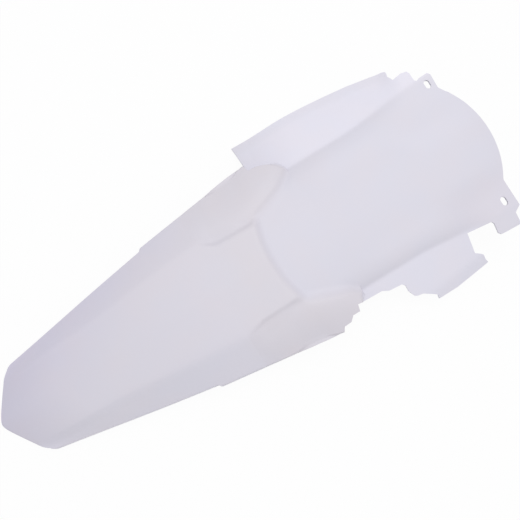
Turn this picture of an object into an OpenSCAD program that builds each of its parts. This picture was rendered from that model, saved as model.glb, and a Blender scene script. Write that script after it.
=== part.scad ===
// Rear fender of an off-road motorcycle, one thin injection-moulded sheet.
// X points forward, Y to the left and Z up. The origin is midway between the
// two front mounting slots, on the upper face of their tabs.

/* [Overall] */
// Distance from the slot line back to the tail's point
tail_reach = 609.5; // [570:0.5:650]
// Distance from the slot line forward to the crown of the front edge
nose_reach = 29.5; // [22:0.5:34]
// Thickness of the moulded wall
wall = 2.5; // [2:0.1:3]

/* [Tail] */
// Length of the pointed end, from its point to its corners
point_len = 34; // [24:0.5:42]
// Width across the corners of the pointed end
corner_w = 101; // [90:1:112]
// Distance from the slot line back to the small jog in the rim
jog_back = 378; // [360:1:400]
// Width of the tail just behind the jog
jog_w = 175.5; // [164:0.5:184]
// Distance that the rim steps out at the jog, on each side
jog_out = 2.6; // [0.5:0.1:4]
// Distance from the slot line back to the highest point of the tail deck
crest_back = 430; // [400:1:460]
// Height of that highest point
crest_h = 24.5; // [20:0.5:30]
// Height that the deck loses from there to the seat line
crest_fall = 6; // [2:0.5:10]
// Height that the tail end droops below the line of the deck
droop_h = 22; // [14:0.5:24]
// Length over which the tail end droops
droop_len = 85; // [70:1:110]
// Width of the flat tail deck at the tail corners
deck_rear_w = 80; // [70:1:86]
// Width of the flat tail deck where the pockets begin
deck_front_w = 118; // [112:1:126]
// Height of the lower edge of the rim
rim_h = -8; // [-12:0.5:-6]
// Height of the lip that is turned down along the rim
lip_h = 6; // [4:0.5:8]

/* [Shoulders] */
// Width over the shoulders at their front end
shoulder_w = 222; // [214:1:230]
// Width of the small flange along the shoulders' rim
flange_w = 3.2; // [2:0.1:4.5]
// Length of that flange, back from the wings' rear edge
flange_len = 64; // [40:1:80]
// Distance from the slot line back to the rear end of the pockets
pocket_back = 322; // [312:1:334]
// Length over which the pocket walls slant in from the edge of the deck
pocket_slant = 22; // [16:1:30]
// Width between the walls of the two pockets
pocket_gap = 97; // [90:1:104]
// Depth of the pockets below the tail deck
pocket_depth = 6; // [3:0.5:8]
// Height of the rounded bulge outside each pocket's valley
bulge_h = 3.5; // [1:0.5:5]

/* [Seat recess] */
// Distance from the slot line back to the middle of the seat line
seat_back = 256.5; // [250:0.5:264]
// Distance that the seat line curves forward at the pocket walls
seat_bow = 8; // [2:0.5:10]
// Height of the recess floor at the seat line
recess_h = 12; // [8:0.5:15]
// Height of the floor midway along the recess
floor_h = 8; // [6:0.5:11]
// Height of the valleys beside the recess, near the front end of the shoulders
valley_h = 8; // [6:0.5:10]
// Width of the recess at half the length of its shoulders
recess_w = 122; // [116:1:128]
// Height that the floor's crown stands over its sides
crown_h = 6.4; // [3:0.2:8]
// Depth of the crease between floor and wing, below the crown's own line
crease_depth = 7.6; // [4:0.2:10]

/* [Wings] */
// Distance from the slot line back to the wings' rear edge
wing_back = 226; // [220:1:232]
// Width over the wings
wing_w = 287.4; // [276:0.2:296]
// Width between the creases along the rear half of the recess
crease_w = 161; // [156:1:166]
// Width between the creases at the front tabs
crease_front_w = 178; // [174:1:182]
// Distance from the slot line back to where the shoulders run out
runout_back = 187; // [182:1:192]
// Fall of the wing for each millimetre outward, at its rear edge
wing_fall_rear = 0.36; // [0.25:0.01:0.5]
// Fall of the wing for each millimetre outward, at its front end
wing_fall_front = 0.5; // [0.4:0.01:0.65]
// Distance that each wing narrows toward its front end
wing_taper = 15.5; // [8:0.5:20]
// Width of the steeper hem along the wings' outer edge
hem_w = 14; // [8:0.5:20]
// Extra fall of the hem for each millimetre outward
hem_fall = 0.55; // [0.2:0.05:0.8]
// Height that each wing's rear edge twists down
twist_h = 7; // [2:0.5:9]
// Length over which the wings twist
twist_len = 52; // [35:1:65]

/* [Trimmed right wing] */
// Distance from the slot line back to the front end of the exhaust cut-out
cutout_front_back = 138; // [130:1:146]
// Width of the strip that is left between the crease and the cut-out
strip_w = 11; // [8:0.5:14]
// Distance from the slot line back to the rear end of the window
window_back = 55; // [46:0.5:60]
// Length of the window, along the bike
window_len = 35; // [24:1:37]
// Width of the front ear, outward from the crease
ear_w = 21.8; // [16:0.2:26]
// Share of the wing's fall that is missing at the front ear
ear_level = 0.75; // [0:0.05:0.9]

/* [Front tabs] */
// Distance between the centres of the two slots
slot_spacing = 158; // [152:1:162]
// Width of each slot, for an M6 screw
slot_w = 6.5; // [5.5:0.1:7.5]
// Length of each slot across the bike, end to end
slot_length = 10.5; // [9:0.1:12]
// Thickness of the tabs
tab_t = 3.2; // [3.2:0.1:4]
// Distance from the slot line forward to the right tab's front edge
tab_front = 12; // [10:0.5:14]
// Length of the tabs, along the bike
tab_len = 24.5; // [22:0.5:27]
// Width of each tab, across the bike
tab_w = 20.5; // [18:0.5:21]

/* [Hidden] */

// Rows of the surface along the bike and columns across each wing
zone_rows = 9;
wing_cols = 5;
// Widths over which the surface turns from one level to the next: at the lip,
// the pocket walls, the sides of the recess, the seat line and the shoulder steps
lip_run = 2.2;
wall_run = 6;
side_run = 11;
seat_run = 8.5;
step_run = 5;
// Width of the soft foot of the pocket walls, beyond the walls themselves
fillet_run = 15;
// Power of the floor's roll down to the crease
roll_power = 3.3;
// Fall of the tail deck for each millimetre outward
roof = 0.03;
// Radius of the front edge, the half width over which it is an arc, and how far
// the middle of the arc lies to the left
nose_r = 118;
nose_half = 58;
nose_shift = 2.5;
// Rounding of the tail's point and corners, and the lengths over which the
// point's curve and the seat line's bow fade out of the rows
point_round = 6;
corner_round = 9;
corner_in = 3.5;
point_fade = 120;
bow_fade = 26;
// Length on each side of the jog over which the bands take up its step
jog_ease = 30;
// Place where the wings begin to narrow, and where they have narrowed in full
taper_from = -165;
taper_to = -20;
// Places between which the crease moves out, with one place between them
crease_from = -105;
crease_mid = -48;
crease_to = -12;
// Places between which the wing turns level at the ear, the floor turns level at
// the tabs, and the hem fades out
ear_from = -45;
ear_to = -22;
level_from = -85;
level_to = -9;
hem_from = -35;
hem_to = -12;
// Place ahead of which the floor falls, its fall at the slot line, and near and
// at the front edge
floor_turn = -100;
floor_fall = 2.5;
floor_fall_near = 3.6;
floor_fall_end = 5.2;
// Share of the half width at which the floor's roll begins
roll_from = 0.62;
// Sharpness of the bends at the deck's edge and at the hem, as a squared length
edge_bend = 0.012;
hem_bend = 6;
// Depth of the surface below the tabs' upper face, so that the tabs cover it,
// and the widths of its blend toward them
tab_inset = 0.35;
tab_side = 11;
tab_blend = 46;
// How far a trim reaches past the edge that it cuts
over = 30;

tail_x = -tail_reach;
corner_x = tail_x + point_len;
jog_x = -jog_back;
pocket_x = -pocket_back;
pocket_in_x = pocket_x + pocket_slant;
seat_x = -seat_back;
wing_x = -wing_back;
runout_x = -runout_back;
rim_top = rim_h + lip_h;
gap_half = pocket_gap / 2;
edge_half_front = crease_front_w / 2;
strip_reach = crease_w / 2 + strip_w;
ear_reach = edge_half_front + ear_w;

function mix(a, b, t) = a + (b - a) * t;
function clamp01(t) = max(0, min(1, t));
function ramp(x, from, to) = let (t = clamp01((x - from) / (to - from))) t * t * (3 - 2 * t);

// Line through stations, with its corners rounded off over ease to both sides
function soft(x, stations, ease) =
    (lookup(x - ease, stations) + lookup(x - ease / 2, stations) + lookup(x, stations)
     + lookup(x + ease / 2, stations) + lookup(x + ease, stations)) / 5;

// Plan outline

// How far the pointed end lies ahead of its point, at half width a
function point_curve(a) =
    let (half = corner_w / 2,
         straight = (sqrt(a * a + point_round * point_round) - point_round)
                    / (sqrt(half * half + point_round * point_round) - point_round),
         turn = max(0, a - half + corner_round) / corner_round)
    (point_len - 3) * min(1.02, straight) + 3 * min(1, turn * turn);

// Half width of the tail behind the jog and of the shoulders ahead of it, at x
function rim_behind(x) =
    lookup(x, [[corner_x, corner_w / 2 + corner_in], [jog_x, jog_w / 2]])
    - corner_in * pow(clamp01(1 - (x - corner_x) / corner_round), 2);
function rim_ahead(x) =
    let (u = min(1, (x - jog_x) / (wing_x - jog_x)),
         grown = shoulder_w / 2 - jog_w / 2 - jog_out)
    jog_w / 2 + jog_out + grown * (1.2 * u - 0.2 * u * u);
function rim_half(x) = mix(rim_behind(x), rim_ahead(x), ramp(x, jog_x - 1.5, jog_x + 1.5));

// Half width at which the bands meet the lip, with the jog spread out, at x
function band_rim(x) =
    mix(rim_behind(x), rim_ahead(x), ramp(x, jog_x - jog_ease, jog_x + jog_ease)) - lip_run;

// Width of the flange that turns out from the rim of the shoulders, at x
function flange(x) =
    let (from = wing_x - flange_len)
    flange_w * ramp(x, from, from + 18) * (1 - ramp(x, wing_x - 14, wing_x - 4));

// Half width of the wing, at x
function wing_half(x) =
    wing_w / 2 - wing_taper * pow(clamp01((x - taper_from) / (taper_to - taper_from)), 1.7);

// Half width of the crease between the recess floor and the wing, at x
function crease_half(x) = soft(x, [
    [crease_from, crease_w / 2],
    [crease_mid, mix(crease_w, crease_front_w, 0.68) / 2],
    [crease_to, edge_half_front]], 12);

// Half width at which the shoulder steps down to the wing, at x
function step_half(x) = soft(x, [
    [wing_x, shoulder_w / 2 - 8.5],
    [wing_x + 8, shoulder_w / 2 - 8],
    [mix(wing_x, runout_x, 0.55), shoulder_w / 2 - 13.5],
    [mix(wing_x, runout_x, 0.86), mix(crease_w / 2, shoulder_w / 2, 0.33)],
    [runout_x, crease_w / 2 + 0.5]], 3);

// Half width of the deck's edge line, at x
function deck_edge(x) = soft(x, [
    [corner_x, deck_rear_w / 2],
    [mix(corner_x, jog_x, 0.55), mix(deck_rear_w, deck_front_w, 0.16) / 2],
    [jog_x, mix(deck_rear_w, deck_front_w, 0.72) / 2],
    [pocket_x, deck_front_w / 2]], 14);

// Half width of the pocket's wall, then of the side of the seat recess, and last
// of a line that only guides the mesh, at x
function wall_edge(x) = soft(x, [
    [pocket_x, deck_front_w / 2],
    [pocket_in_x, gap_half + 1],
    [seat_x, gap_half],
    [seat_x + 10, gap_half + 1],
    [seat_x + 21, mix(pocket_gap, recess_w, 0.6) / 2],
    [mix(wing_x, runout_x, 0.46), recess_w / 2],
    [mix(wing_x, runout_x, 0.75), mix(recess_w, crease_w, 0.45) / 2],
    [runout_x - 1, crease_w / 2 - 2],
    [runout_x + 40, recess_w / 2]], 4);
function edge_half(x) = mix(deck_edge(x), wall_edge(x), ramp(x, pocket_x - 8, pocket_x + 4));

// Width over which the wall beside the deck and recess turns, at x
function turn_run(x) = mix(wall_run, side_run, ramp(x, seat_x - 6, seat_x + 18));

// Height of the upper surface

// Tail deck along the middle, at x, where ahead is the distance ahead of the end
function tail_deck(x, ahead) =
    let (u = (x + crest_back) / (crest_back - seat_back))
    crest_h - crest_fall * u * u - droop_h * pow(clamp01(1 - ahead / droop_len), 2);
function roofed(x, a, ahead) = tail_deck(x, ahead) - roof * sqrt(a * a + 9);

// Turned-down lip at side and end, which gives way to the flange
function lip_drop(x, a, ahead) =
    let (s = pow(max(0, (a - rim_half(x) + lip_run + flange(x)) / lip_run), 2),
         side = min(1, s) * (1 - 0.75 * flange(x) / flange_w),
         end = pow(max(0, (lip_run - ahead) / lip_run), 2))
    lip_h * (side + end - side * min(1, end));

// Tail deck and the sloped bands beside it
function tail_height(x, a, ahead) =
    let (rim = band_rim(x),
         edge = min(deck_edge(min(x, pocket_x)), rim - 6),
         deck = roofed(x, a, ahead),
         t = (a - edge) / (rim - edge),
         bend = (t + sqrt(t * t + edge_bend)) / 2)
    deck - (deck - rim_top) * bend;

// Shoulder: a valley along the wall, a rounded bulge and a fall to the rim
function shoulder_height(x, a) =
    let (inner = edge_half(min(x, runout_x)),
         q = clamp01((a - inner) / (rim_half(x) - lip_run - flange(x) - inner)),
         seat_deck = tail_deck(seat_x, droop_len),
         valley = soft(x, [
             [pocket_in_x, tail_deck(pocket_in_x, droop_len) - pocket_depth - 1],
             [seat_x, seat_deck - pocket_depth + 1],
             [wing_x, mix(recess_h, seat_deck, 0.25)],
             [mix(wing_x, runout_x, 0.55), valley_h],
             [runout_x, floor_h - 10]], 6))
    mix(valley, rim_top, pow(q, 1.7)) + bulge_h * sin(180 * pow(q, 0.8));

// Floor of the seat recess, which rolls down to the crease and levels at the tabs
function floor_height(x, a) =
    let (mid = soft(x, [
             [seat_x, recess_h], [runout_x, floor_h], [floor_turn, floor_h], [0, floor_h - floor_fall],
             [nose_reach - 9, floor_h - floor_fall_near], [nose_reach, floor_h - floor_fall_end]], 6),
         half = crease_w / 2,
         begin = roll_from * half,
         roll = pow(max(0, (a - begin) / (crease_half(x) - begin)), roll_power),
         free = mid - crown_h * pow(a / half, 2) - crease_depth * roll,
         slot_a = slot_spacing / 2,
         tab = ramp(x, level_from, level_to) * ramp(a, slot_a - tab_blend, slot_a - 7))
    mix(free, -tab_inset, tab);

// Wing, which falls outward from the crease, has a steeper hem along its outer
// edge, and twists down toward its rear edge
function wing_height(x, a) =
    let (crease = crease_half(x),
         out = a - crease,
         level = ear_level * ramp(x, ear_from, ear_to) * (1 - ramp(out, ear_w - 2, ear_w + 16)),
         fall = mix(wing_fall_rear, wing_fall_front, clamp01((x - wing_x) / -wing_x)) * (1 - level),
         past = a - wing_half(x) + hem_w,
         hem = hem_fall * (past + sqrt(past * past + hem_bend)) / 2 * ramp(x, hem_to, hem_from),
         fold = wing_x + twist_len + 0.35 * out,
         twist = twist_h * pow(clamp01((fold - x) / twist_len), 1.6) * clamp01(out / 20))
    floor_height(x, crease) - fall * out - hem - twist;

// Deck or recess floor, with the seat line between them
function deck_height(x, a, ahead) =
    let (line = seat_x + seat_bow * pow(min(a, gap_half) / gap_half, 2))
    mix(roofed(x, a, ahead), floor_height(x, a), ramp(x, line - seat_run / 2, line + seat_run / 2));

// Everything inside the shoulder's step, at x from the tail to the run-out
function inner_height(x, a, ahead) =
    let (edge = edge_half(x),
         run = turn_run(x),
         foot = fillet_run * (1 - ramp(x, seat_x - pocket_slant, seat_x + 2)),
         turn = mix(ramp(a, edge - run / 2, edge + run / 2),
                    ramp(a, edge - run / 2, edge + run / 2 + foot), 0.5),
         open = mix(deck_height(x, a, ahead), shoulder_height(x, a), turn))
    mix(tail_height(x, a, ahead), open, ramp(x, pocket_x, pocket_in_x));

// Whole upper surface at x and distance a from the middle
function height(x, a) =
    let (ahead = x - tail_x - point_curve(a))
    x < pocket_x ? tail_height(x, a, ahead) - lip_drop(x, a, ahead)
    : x < wing_x - 1.5 ? inner_height(x, a, ahead) - lip_drop(x, a, ahead)
    : x < runout_x ?
        let (step = step_half(x))
        mix(inner_height(x, a, ahead), wing_height(x, a), ramp(a, step - step_run / 2, step + step_run / 2))
    : a < crease_half(x) ? floor_height(x, a) : wing_height(x, a);

// Mesh of the sheet

// Places of the rows along the middle, closer where the surface turns
function zone(from, to, rows, bias = 1) =
    [for (i = [0 : rows - 1]) mix(from, to, pow(i / rows, bias))];
rows_x = concat(
    [tail_x, tail_x + lip_run / 2],
    zone(tail_x + lip_run, tail_x + droop_len, zone_rows, 1.3),
    zone(tail_x + droop_len, jog_x - 1.5, zone_rows),
    [jog_x - 1.5, jog_x + 1.5],
    zone(jog_x + 7, pocket_x - 3, 4),
    zone(pocket_x - 3, pocket_in_x + 4, 7),
    zone(pocket_in_x + 4, seat_x - seat_run / 2 - 2, 5),
    zone(seat_x - seat_run / 2 - 0.5, seat_x + seat_run / 2 + 0.5, 5),
    [seat_x + seat_run / 2 + 0.5],
    zone(seat_x + seat_run / 2 + 3, wing_x - 3, 4),
    [wing_x - 3],
    zone(wing_x, runout_x + 1, 10),
    zone(runout_x + 1, -window_back - 5, 8),
    zone(-window_back - 5, tab_front - tab_len - 15, 4),
    zone(tab_front - tab_len - 15, nose_reach, 9),
    [nose_reach]);
n_rows = len(rows_x);
wing_row = search(1, [for (x = rows_x) x >= wing_x ? 1 : 0])[0];

// x of a point of a row, at distance a from the middle, side = 1 left, -1 right:
// rows follow the pointed end, the seat line and the arc of the front edge
function row_x(base, a, side = 1) =
    let (point = point_curve(a) * clamp01((tail_x + point_fade - base) / (point_fade - lip_run)),
         seat = seat_bow * pow(min(a, gap_half) / gap_half, 2) * clamp01(1 - abs(base - seat_x) / bow_fade),
         arc_a = min(a, nose_half) - nose_shift * side,
         arc = (nose_r - sqrt(nose_r * nose_r - arc_a * arc_a)) * clamp01((base + 90) / (nose_reach + 90)))
    base + point + seat - arc;

// Distances from the middle of the points in row i, from the middle outward
function row_cols(i) =
    let (base = rows_x[i],
         side_x = row_x(base, wing_w / 2),
         edge = min(edge_half(row_x(base, corner_w / 3)), rim_half(side_x) - 12),
         far = i < wing_row ? rim_half(side_x) : side_x < runout_x ? step_half(side_x) + step_run / 2
                            : crease_half(side_x),
         near = i < wing_row ? far - lip_run - flange(side_x) : far - step_run,
         run = turn_run(base),
         in = edge - run / 2,
         out = min(edge + run / 2, near - 2),
         main = [0, 0.35 * in, 0.7 * in, in, (in + out) / 2, out, mix(out, near, 0.25),
                 mix(out, near, 0.5), mix(out, near, 0.75), near, mix(near, far, 0.4), far],
         tip = wing_half(side_x))
    i < wing_row ? main
                 : concat(main, [for (k = [1 : wing_cols]) mix(far, tip, k / wing_cols)]);

// One point of the upper surface and the point under it, side = 1 left, -1 right
function sheet_points(i, a, side) =
    let (x = row_x(rows_x[i], a, side),
         d = 0.4,
         z = height(x, a),
         dx = (height(x + d, a) - height(x - d, a)) / (2 * d),
         da = a < d ? 0 : (height(x, a + d) - height(x, a - d)) / (2 * d),
         n = wall / sqrt(1 + dx * dx + da * da))
    [[x, side * a, z], [x + dx * n, side * (a + da * n), z - n]];

grid = [for (i = [0 : n_rows - 1])
    let (cols = row_cols(i), last = len(cols) - 1)
    concat([for (j = [last : -1 : 1]) sheet_points(i, cols[j], -1)],
           [for (j = [0 : last]) sheet_points(i, cols[j], 1)])];

narrow = len(grid[0]);
wide = len(grid[n_rows - 1]);
// Number of the first point of row i, and the shift of a tail row's columns
function start(i) = i < wing_row ? i * narrow : wing_row * narrow + (i - wing_row) * wide;
function at(i, j) = start(i) + (i < wing_row ? j - wing_cols : j);
total = start(n_rows);

// Two triangles of one cell, on the upper side or, turned over, on the lower
function cell(a, b, c, d) = [[a, c, b], [a, d, c]];
function under(faces) = [for (f = faces) [total + f[0], total + f[2], total + f[1]]];

upper = [for (i = [0 : n_rows - 2])
    let (from = i < wing_row ? wing_cols : 0, to = i < wing_row ? wide - wing_cols - 2 : wide - 2)
    for (j = [from : to])
        for (f = cell(at(i, j), at(i + 1, j), at(i + 1, j + 1), at(i, j + 1))) f];

// Free edge of the sheet, once round
border = concat(
    [for (j = [wing_cols : wide - wing_cols - 1]) at(0, j)],
    [for (i = [1 : wing_row]) at(i, wide - wing_cols - 1)],
    [for (j = [wide - wing_cols : wide - 1]) at(wing_row, j)],
    [for (i = [wing_row + 1 : n_rows - 1]) at(i, wide - 1)],
    [for (j = [wide - 2 : -1 : 0]) at(n_rows - 1, j)],
    [for (i = [n_rows - 2 : -1 : wing_row]) at(i, 0)],
    [for (j = [1 : wing_cols]) at(wing_row, j)],
    [for (i = [wing_row - 1 : -1 : 1]) at(i, wing_cols)]);
n_border = len(border);
skirt = [for (k = [0 : n_border - 1])
    let (a = border[k], b = border[(k + 1) % n_border])
    for (f = [[b, a, total + a], [b, total + a, total + b]]) f];

module sheet() {
    polyhedron(
        points = concat([for (row = grid) for (p = row) p[0]], [for (row = grid) for (p = row) p[1]]),
        faces = concat(upper, under(upper), skirt),
        convexity = 8);
}

// Flat tab that carries one slot, side = 1 left, -1 right
module tab(side) {
    inner = slot_spacing / 2 + tab_side - tab_w;
    translate([tab_front - tab_len, side > 0 ? inner : -inner - tab_w, -tab_t])
        cube([tab_len, tab_w, tab_t]);
}

module slot(side) {
    r = slot_w / 2;
    half = slot_length / 2 - r;
    translate([0, side * slot_spacing / 2, -over]) {
        translate([0, -half, 0]) cylinder(r = r, h = 2 * over, $fn = 48);
        translate([0, half, 0]) cylinder(r = r, h = 2 * over, $fn = 48);
        translate([-r, -half, 0]) cube([slot_w, 2 * half, 2 * over]);
    }
}

// Cuts an outline, given in plan, out of the sheet
module trim(points) {
    translate([0, 0, -3 * over])
        linear_extrude(height = 5 * over) polygon(points);
}

// Exhaust cut-out in the rear of the right wing
module exhaust_cutout() {
    out = -wing_w / 2 - over;
    rim = -wing_w / 2 + 6.2;
    jag = shoulder_w / 2;
    front = -cutout_front_back;
    trim([
        [wing_x - 2.3, -jag - 0.4], [wing_x + 0.4, -jag + 5.8], [wing_x + 8.5, -jag + 6],
        [wing_x + 15, -jag + 11.6], [wing_x + 24.2, -jag + 11.3], [wing_x + 25.8, -strip_reach],
        [wing_x + 61, -strip_reach - 3.2], [front - 4, -strip_reach - 7.9],
        [front, -strip_reach - 27], [front + 8.8, -strip_reach - 29],
        [front + 16, -strip_reach - 32], [front + 25, -strip_reach - 37.6],
        [front + 27, rim], [front + 60, rim], [front + 60, out], [wing_x - 2.3, out]]);
}

// Window between the right wing and its front ear, open to the side
module window() {
    out = -wing_w / 2 - over;
    rear = -window_back;
    front = rear + window_len;
    trim([
        [rear, -edge_half_front + 0.3], [rear + 2, -ear_reach - 4.4],
        [rear + 10.6, -ear_reach - 8.4], [rear + 13.4, out], [tab_front + over, out],
        [tab_front + over, -ear_reach], [front + 0.6, -ear_reach + 1.2],
        [front, -edge_half_front - 1.6]]);
}

// Front edge of the right tab and of the ear beside it
module right_front() {
    trim([
        [tab_front, -nose_half], [tab_front, -edge_half_front - 2],
        [tab_front - 7, -edge_half_front - 6], [tab_front - 4.2, -ear_reach - 12],
        [tab_front + over, -ear_reach - 12], [tab_front + over, -nose_half]]);
}

// Stepped front end of the left wing, and the front edge of the left tab
module left_front() {
    half = wing_half(-24);
    rear = -72;
    front = tab_front + over;
    trim([
        [rear, wing_half(rear) + over], [rear, wing_half(rear)], [-45, half + 1.2],
        [-25, half - 5.4], [-27.5, half - 13], [-23, half - 20.5], [-6, half - 20.5],
        [-11, edge_half_front + 2.4], [tab_front - 4.2, edge_half_front + 0.8],
        [tab_front - 5.2, nose_half + 15], [tab_front, nose_half + 3],
        [tab_front + 4, nose_half - 1], [front, nose_half - 1], [front, wing_half(rear) + over]]);
}

module fender() {
    color([0.87, 0.86, 0.9])
        difference() {
            union() {
                sheet();
                tab(1);
                tab(-1);
            }
            exhaust_cutout();
            window();
            right_front();
            left_front();
            slot(1);
            slot(-1);
        }
}

fender();
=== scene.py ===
"""Looks of a one-piece motorcycle rear fender in white polypropylene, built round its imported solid."""

import logging
import math
from dataclasses import dataclass, field
from enum import Enum
from typing import Any, Mapping, Sequence

import bpy
import numpy as np
from mathutils import Matrix, Vector


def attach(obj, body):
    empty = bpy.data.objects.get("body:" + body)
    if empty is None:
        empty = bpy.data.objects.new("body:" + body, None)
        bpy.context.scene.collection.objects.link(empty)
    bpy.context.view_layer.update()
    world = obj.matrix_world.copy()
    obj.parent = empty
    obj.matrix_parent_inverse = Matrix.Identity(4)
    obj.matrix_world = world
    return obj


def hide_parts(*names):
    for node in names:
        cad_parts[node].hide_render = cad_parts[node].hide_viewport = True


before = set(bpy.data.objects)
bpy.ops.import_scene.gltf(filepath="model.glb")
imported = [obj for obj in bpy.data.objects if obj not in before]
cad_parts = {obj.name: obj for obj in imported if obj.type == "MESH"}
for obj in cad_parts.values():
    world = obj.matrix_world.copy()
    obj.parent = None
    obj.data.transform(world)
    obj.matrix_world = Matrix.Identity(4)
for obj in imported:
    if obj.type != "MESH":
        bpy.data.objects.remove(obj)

LOG = logging.getLogger("fender")
MM = 0.001
BODY = "root"
NODE = "fender"

Array = np.ndarray
Span = tuple[float, float]
Point = tuple[float, float]
Line = Sequence[Point]
Triple = tuple[float, float, float]
Color = Triple


class Side(Enum):
    """Which half of the motorcycle a place lies in, as the sign of Y."""
    # Zones whose painted light and shade differ a little, as the names of their shares in the mesh.

    LEFT = 1
    RIGHT = -1


class Zone(Enum):
    """Zones whose white differs a little, as the names of their shares in the mesh."""

    BAND = "band"
    SHOULDER = "shoulder"
    WING = "wing"


def mix(a: Array, b: Array, t: Array) -> Array:
    """Returns a + (b - a) * t."""
    return a + (b - a) * t


def clamp01(t: Array) -> Array:
    """Returns t held between 0 and 1."""
    return np.clip(t, 0.0, 1.0)


def ramp(x: Array, start: Array | float, end: Array | float) -> Array:
    """Rises smoothly from 0 where x is at start to 1 where it is at end, as 3t^2 - 2t^3."""
    t = clamp01((x - start) / (end - start))
    return t * t * (3.0 - 2.0 * t)


def fade(x: Array, place: Array | float, span: Span) -> Array:
    """Rises smoothly from 0 at place + span[0] to 1 at place + span[1]."""
    return ramp(x, place + span[0], place + span[1])


def soft_line(x: Array, stations: Line, ease: float) -> Array:
    """A line through stations: its straight stretches, averaged over five places around x.

    Args:
        x: Places where the line is wanted.
        stations: Pairs of place and value, in rising order of place.
        ease: Half of the length over which it is averaged, which rounds the corners.

    Returns:
        The line's value at each place.
    """
    at, value = np.array(stations, float).T
    shifts = np.array([-1.0, -0.5, 0.0, 0.5, 1.0]) * ease
    return sum(np.interp(x + shift, at, value) for shift in shifts) / len(shifts)


def cell_corners(grid: Array) -> list[Array]:
    """Gives the values at each cell's corners: its first, one row on, one column on, and both on."""
    first, second = slice(None, -1), slice(1, None)
    return [grid[rows, cols] for cols in (first, second) for rows in (first, second)]


def linked(name: str, data: bpy.types.ID) -> bpy.types.Object:
    """Adds an object to the scene.

    Args:
        name: Name of the object.
        data: Its mesh, light or camera.

    Returns:
        The new object.
    """
    thing = bpy.data.objects.new(name, data)
    bpy.context.scene.collection.objects.link(thing)
    return thing


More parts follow.
